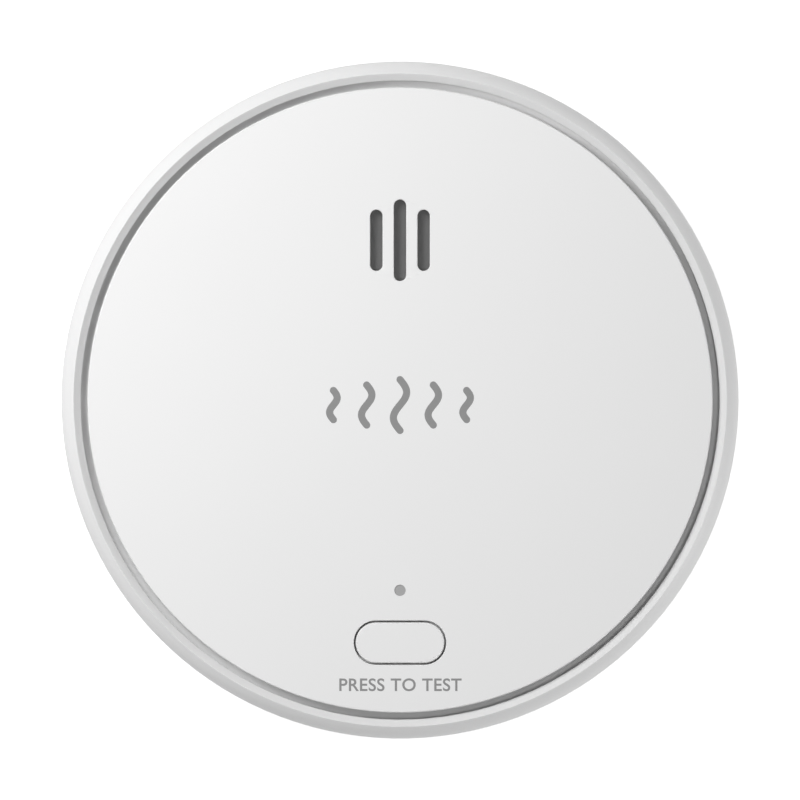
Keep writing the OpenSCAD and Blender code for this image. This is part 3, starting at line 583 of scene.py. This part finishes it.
def button_legend(words):
    """The printed words under the test button, as a thin solid."""
    curve = bpy.data.curves.new("button_legend", "FONT")
    curve.body = words
    curve.size = LEGEND_SIZE
    curve.align_x = curve.align_y = "CENTER"
    curve.space_character = LEGEND_SPACING
    curve.extrude = (INK_TOP + INK_FOOT) / 2
    curve.offset = LEGEND_BOLDNESS
    text = add_object("button_legend_source", curve)
    bpy.context.view_layer.update()
    mesh = bpy.data.meshes.new_from_object(text.evaluated_get(bpy.context.evaluated_depsgraph_get()))
    bpy.data.objects.remove(text)
    bm = bmesh.new()
    bm.from_mesh(mesh)
    bmesh.ops.remove_doubles(bm, verts=bm.verts, dist=1e-7)
    bm.to_mesh(mesh)
    bm.free()
    mesh.name = "button_legend"
    piece = add_object("button_legend", mesh)
    piece.location = LEGEND_AT
    mesh.materials.clear()
    mesh.materials.append(grey_ink)
    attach(piece, "alarm")


button_legend("PRESS TO TEST")


# ---------------------------------------------------------------- wires and spring, rounded off

for name in ("sounder_lead_signal", "sounder_lead_ground", "battery_lead_positive", "battery_lead_negative",
             "button_spring"):
    rounding = frame["nodes"][name].modifiers.new("rounding", "SUBSURF")
    rounding.levels = rounding.render_levels = 1


# ---------------------------------------------------------------- coil

def coil_turns(bm):
    """Copper wire wound turn beside turn from the bottom to the top, on a closed core."""
    low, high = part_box("coil_winding")
    wire, points = 0.22 * MM, 28
    middle = (low + high) / 2
    radius = high.x - middle.x - wire
    core = radius - 0.2 * wire
    steps = int((high.z - low.z) / (2.04 * wire)) * points
    climb = (high.z - low.z - 2 * wire) / steps
    tube(bm, [round_point(middle, radius, 2 * math.pi * k / points, low.z + wire + climb * k)
              for k in range(steps + 1)], wire)
    turned(bm, [(0, low.z), (core, low.z), (core, high.z), (0, high.z)], middle)


winding = shade_round(piece_from("coil_turns", coil_turns, finishes["coil_copper"]))
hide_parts("coil_winding")


# ---------------------------------------------------------------- insect screen, woven from wire

def screen_wires(bm):
    """Upright wires that weave in and out of level rings."""
    low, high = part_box("insect_screen")
    middle = (low + high) / 2
    wire, weave, uprights, levels = 0.09 * MM, 0.07 * MM, 84, 14
    radius = high.x - middle.x - 0.2 * MM
    height = high.z - low.z
    for index in range(uprights):
        angle = 2 * math.pi * index / uprights
        side = Vector((math.cos(angle), math.sin(angle), 0))
        points = []
        for step in range(2 * levels + 1):
            out = radius + weave * math.cos(math.pi * (step + index))
            points.append(middle + side * out + Vector((0, 0, height * (step / (2 * levels) - 0.5))))
        tube(bm, points, wire, 5)
    for level in range(levels):
        z = low.z + height * (level + 0.5) / levels
        ring = [round_point(middle, radius, math.pi * k / uprights, z) for k in range(2 * uprights)]
        tube(bm, ring, wire, 5, closed=True)


screen = shade_round(piece_from("screen_wires", screen_wires, finishes["insect_mesh"]))
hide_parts("insect_screen")


# ---------------------------------------------------------------- end caps, marks and solder on the board

CHIPS = ("chip_resistors", "chip_capacitors")


def long_axis(low, high):
    return 0 if high.x - low.x > high.y - low.y else 1


def chip_end_caps(bm):
    """Tinned ends round the resistors and the ceramic capacitors."""
    cap, skin = 0.4 * MM, 0.02 * MM
    for name in CHIPS:
        for low, high in islands(name):
            axis = long_axis(low, high)
            for end in (0, 1):
                cap_low, cap_high = low.copy(), high.copy()
                if end:
                    cap_low[axis] = high[axis] - cap
                else:
                    cap_high[axis] = low[axis] + cap
                cap_low -= Vector((skin, skin, 0))
                cap_high += Vector((skin, skin, skin))
                bevelled_box(bm, cap_low, cap_high, 0.06 * MM)


shade_round(piece_from("chip_end_caps", chip_end_caps, finishes["tinned_steel"]))


def solder_fillets(bm):
    """Solder at both ends of each chip, and cones where the sounder's leads meet the board."""
    for low, high in islands(CHIPS[0]) + islands(CHIPS[1]):
        axis = long_axis(low, high)
        for side in (-1, 1):
            middle = (low + high) / 2
            middle[axis] = (high if side > 0 else low)[axis] + side * 0.1 * MM
            fillet = [(0, 0), (0.5, 0), (0.42, 0.12), (0.2, 0.24), (0, 0.28)]
            turned_above(bm, fillet, BOARD_TOP, middle, 12)
    for name in ("sounder_lead_signal", "sounder_lead_ground"):
        foot = min((vertex.co for vertex in frame["nodes"][name].data.vertices), key=lambda co: co.z)
        cone = [(0, 0), (1.2, 0), (1.05, 0.35), (0.75, 0.8), (0.62, 1.3), (0, 1.35)]
        turned_above(bm, cone, BOARD_TOP, foot, 20)


shade_round(piece_from("solder_fillets", solder_fillets, solder))


def board_print(bm):
    """White outlines round the parts, a dot at the first pin of each chip and plus signs by the cans."""
    top, foot, width = BOARD_TOP + 0.015 * MM, BOARD_TOP - 0.02 * MM, 0.15 * MM
    gap, inset, plus = 0.7 * MM, 0.9 * MM, 0.6 * MM
    boxes = [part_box(name) for name in ("microcontroller", "sensor_chip", "clock_crystal", "battery_header",
                                       "test_switch_body")]
    for low, high in boxes + islands("electrolytic_capacitors") + [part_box("boost_coil")]:
        for line in rectangle(low.x - gap, high.x + gap, low.y - gap, high.y + gap):
            ribbon(bm, line, width, top, foot)
    for name in ("microcontroller", "sensor_chip"):
        low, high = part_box(name)
        dot = [(0, -0.02), (0.3, -0.02), (0.3, 0.012), (0, 0.012)]
        turned_above(bm, dot, high.z, (low.x + inset, high.y - inset))
    for low, high in islands("electrolytic_capacitors"):
        centre = Vector((low.x - 1.4 * MM, (low.y + high.y) / 2))
        for reach in (Vector((plus, 0)), Vector((0, plus))):
            ribbon(bm, [centre - reach, centre, centre + reach], width, top, foot)


piece_from("board_print", board_print, white_ink)


def board_tracks(bm):
    """Copper tracks under the mask, fanning out from the chips to the parts round them."""
    top, foot, width, pin_pitch = BOARD_TOP + 0.01 * MM, BOARD_TOP - 0.02 * MM, 0.3 * MM, 1.27 * MM
    routes = []
    for name, pins, reach in (("microcontroller", 10, 3.2), ("sensor_chip", 8, 2.6)):
        low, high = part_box(name)
        middle = (low + high) / 2
        for index in range(pins):
            off_middle = (index - (pins - 1) / 2) * pin_pitch
            y, spread = middle.y + off_middle, off_middle / 4
            for side, edge in ((-1, low.x), (1, high.x)):
                start = edge + side * 1.1 * MM
                straight_end, bend_end, end = (start + side * step * MM for step in (0.8, 1.8, reach))
                routes.append([(start, y), (straight_end, y), (bend_end, y + spread), (end, y + spread)])
    for index in range(7):
        x = -9 + index * 1.1
        for route in ([(x, 28), (x, 24), (x + 3, 19), (x + 3, 12)],
                      [(x, -38), (x, -35), (x - 3, -32), (x - 3, -27.5)]):
            routes.append([(px * MM, py * MM) for px, py in route])
    for route in routes:
        ribbon(bm, [Vector(point) for point in route], width, top, foot)


piece_from("board_tracks", board_tracks, track_mask)


def status_lens(bm):
    """The clear dome on the light."""
    low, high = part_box("status_led")
    dome = [(0, -0.1), (1.0, -0.1), (1.0, 0.05), (0.8, 0.25), (0.4, 0.38), (0, 0.42)]
    turned_above(bm, dome, high.z, (low + high) / 2)


shade_round(piece_from("status_lens", status_lens, finishes["emitter_epoxy"]))


def switch_rivets(bm):
    """The four formed pegs that hold the test switch's cover."""
    low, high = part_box("test_switch_body")
    middle = (low + high) / 2
    head = [(0, -0.1), (0.4, -0.1), (0.4, 0.06), (0.25, 0.14), (0, 0.16)]
    for x in (-2.3, 2.3):
        for y in (-2.1, 2.1):
            turned_above(bm, head, high.z, (middle.x + x * MM, middle.y + y * MM), 16)


shade_round(piece_from("switch_rivets", switch_rivets, finishes["tinned_steel"]))


# ---------------------------------------------------------------- rating label's ruled fields

def label_fields(bm):
    """A ruled frame with blank fields, a row of year boxes and the smoke waves; it faces the ceiling."""
    low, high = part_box("rating_label")
    top, foot = low.z + 0.02 * MM, low.z - 0.012 * MM
    margin, inset, short, rows, years = 2 * MM, 1.2 * MM, 12 * MM, 6, 10
    x0, x1, y0, y1 = low.x + margin, high.x - margin, low.y + margin, high.y - margin
    row = (y1 - y0) / rows
    for line in rectangle(x0, x1, y0, y1):
        ribbon(bm, line, 0.3 * MM, top, foot)
    rules = []
    for index in range(1, 5):
        y = y0 + row * index
        rules.append(straight((x0 + inset, y), (x1 - (inset if index < 4 else short), y)))
    for index in range(years + 1):
        x = x0 + inset + (x1 - x0 - 2 * inset) * index / years
        rules.append(straight((x, y0 + 0.7 * MM), (x, y0 + row)))
    for line in rules:
        ribbon(bm, line, 0.2 * MM, top, foot)
    for index in (-1, 0, 1):
        line = wave(x1 - 5.5 * MM + index * 1.9 * MM, y1 - 3.6 * MM, 4.2 * MM, 0.4 * MM, 16)
        ribbon(bm, line, 0.5 * MM, top, foot)


piece_from("label_fields", label_fields, dark_ink)


# ---------------------------------------------------------------- marks on the cans

def can_marks(bm):
    """A curved stripe down the side of each can, and a raised round of bare metal on its top."""
    steps, step_angle = 8, 0.09
    above, below = 0.02 * MM, 0.05 * MM
    for low, high in islands("electrolytic_capacitors"):
        middle = (low + high) / 2
        radius = (high.x - low.x) / 2
        inner, outer = [], []
        for z in (low.z + 2.2 * MM, high.z - 0.9 * MM):
            for k in range(steps + 1):
                angle = math.pi + (k - steps / 2) * step_angle
                inner.append(bm.verts.new(round_point(middle, radius - below, angle, z)))
                outer.append(bm.verts.new(round_point(middle, radius + above, angle, z)))
        up = steps + 1
        for k in range(steps):
            bm.faces.new((outer[k], outer[k + 1], outer[k + 1 + up], outer[k + up]))
            bm.faces.new((inner[k + up], inner[k + 1 + up], inner[k + 1], inner[k]))
            bm.faces.new((inner[k], inner[k + 1], outer[k + 1], outer[k]))
            bm.faces.new((outer[k + up], outer[k + 1 + up], inner[k + 1 + up], inner[k + up]))
        for k in (0, steps):
            bm.faces.new((inner[k], outer[k], outer[k + up], inner[k + up]))
        rim = radius - 0.75 * MM
        turned(bm, [(0, high.z - below), (rim, high.z - below), (rim - 0.05 * MM, high.z + above),
                    (0, high.z + above)], middle, 32)


shade_round(piece_from("can_marks", can_marks, finishes["cell_can"]))


# ---------------------------------------------------------------- floor, light and camera

# How pale the floor and the sky look to the camera, and how much light they send to the alarm
FLOOR_SEEN, FLOOR_BOUNCE = 0.85, 0.8
GLOW_SEEN, GLOW_BOUNCE = 0.6, 0.22
SKY_SEEN, SKY_LIGHT = 0.97, 0.3
FLOOR_Z = -0.05 * MM
UNDERSIDE_REACH = 7.5 * MM
ALARM_MIDDLE = (0, 0, 0.03)
LENS, CAMERA_HEIGHT, VIEW_REACH = 800, 2.6533, 20


def floor():
    """A pale table under the ceiling side; a view from below and light close by pass through it."""
    mesh = bpy.data.meshes.new("floor")
    bm = bmesh.new()
    bmesh.ops.create_grid(bm, x_segments=1, y_segments=1, size=4)
    bm.to_mesh(mesh)
    bm.free()
    plane = add_object("floor", mesh)
    plane.location = (0, 0, FLOOR_Z)
    material, tree, shader = new_material("pale_floor")
    path = add_node(tree, "ShaderNodeLightPath")
    seen = path.outputs["Is Camera Ray"]
    close_by = math_node(tree, "LESS_THAN", path.outputs["Ray Length"], UNDERSIDE_REACH)
    underside = math_node(tree, "MULTIPLY", close_by, math_node(tree, "SUBTRACT", 1.0, seen))
    shade = math_node(tree, "MULTIPLY_ADD", seen, FLOOR_SEEN - FLOOR_BOUNCE, FLOOR_BOUNCE)
    tree.links.new(shade, shader.inputs["Base Color"])
    shader.inputs["Roughness"].default_value = 0.9
    shader.inputs["Specular IOR Level"].default_value = 0.0
    shader.inputs["Emission Color"].default_value = (1, 1, 1, 1)
    glow = math_node(tree, "MULTIPLY_ADD", seen, GLOW_SEEN - GLOW_BOUNCE, GLOW_BOUNCE)
    tree.links.new(glow, shader.inputs["Emission Strength"])
    clear = tree.nodes.new("ShaderNodeBsdfTransparent")
    sides = tree.nodes.new("ShaderNodeMixShader")
    output = next(node for node in tree.nodes if node.type == "OUTPUT_MATERIAL")
    below = add_node(tree, "ShaderNodeNewGeometry").outputs["Backfacing"]
    tree.links.new(math_node(tree, "MAXIMUM", below, underside), sides.inputs[0])
    tree.links.new(shader.outputs[0], sides.inputs[1])
    tree.links.new(clear.outputs[0], sides.inputs[2])
    tree.links.new(sides.outputs[0], output.inputs["Surface"])
    mesh.materials.append(material)


def soft_light(name, place, aim, size, watts):
    """A round area light at place, turned towards aim, that the camera doesn't see."""
    light = bpy.data.lights.new(name, "AREA")
    light.shape = "DISK"
    light.size = size
    light.energy = watts
    lamp = add_object(name, light)
    lamp.location = place
    lamp.rotation_mode = "QUATERNION"
    lamp.visible_camera = False
    lamp.rotation_quaternion = (Vector(aim) - Vector(place)).to_track_quat("-Z", "Y")


floor()
soft_light("key", (-0.164, 0.115, 0.276), ALARM_MIDDLE, 0.18, 0.67)
soft_light("low_fill", (0.5, -0.24, 0.1), ALARM_MIDDLE, 0.3, 0.85)
soft_light("top_fill", (0.16, -0.13, 0.95), ALARM_MIDDLE, 0.1, 0.95)
soft_light("under_fill", (-0.09, -0.12, -0.6), (0, 0, 0), 0.3, 1.8)

world = bpy.data.worlds.new("studio")
world.use_nodes = True
background = world.node_tree.nodes["Background"]
background.inputs[0].default_value = (1, 1, 1, 1)
seen = add_node(world.node_tree, "ShaderNodeLightPath").outputs["Is Camera Ray"]
strength = math_node(world.node_tree, "MULTIPLY_ADD", seen, SKY_SEEN - SKY_LIGHT, SKY_LIGHT)
world.node_tree.links.new(strength, background.inputs[1])
bpy.context.scene.world = world
bpy.context.scene.view_settings.view_transform = "Standard"

camera = bpy.data.cameras.new("camera")
camera.lens = LENS
camera.clip_end = VIEW_REACH
viewer = add_object("camera", camera)
viewer.location = (0, 0, CAMERA_HEIGHT)
bpy.context.scene.camera = viewer
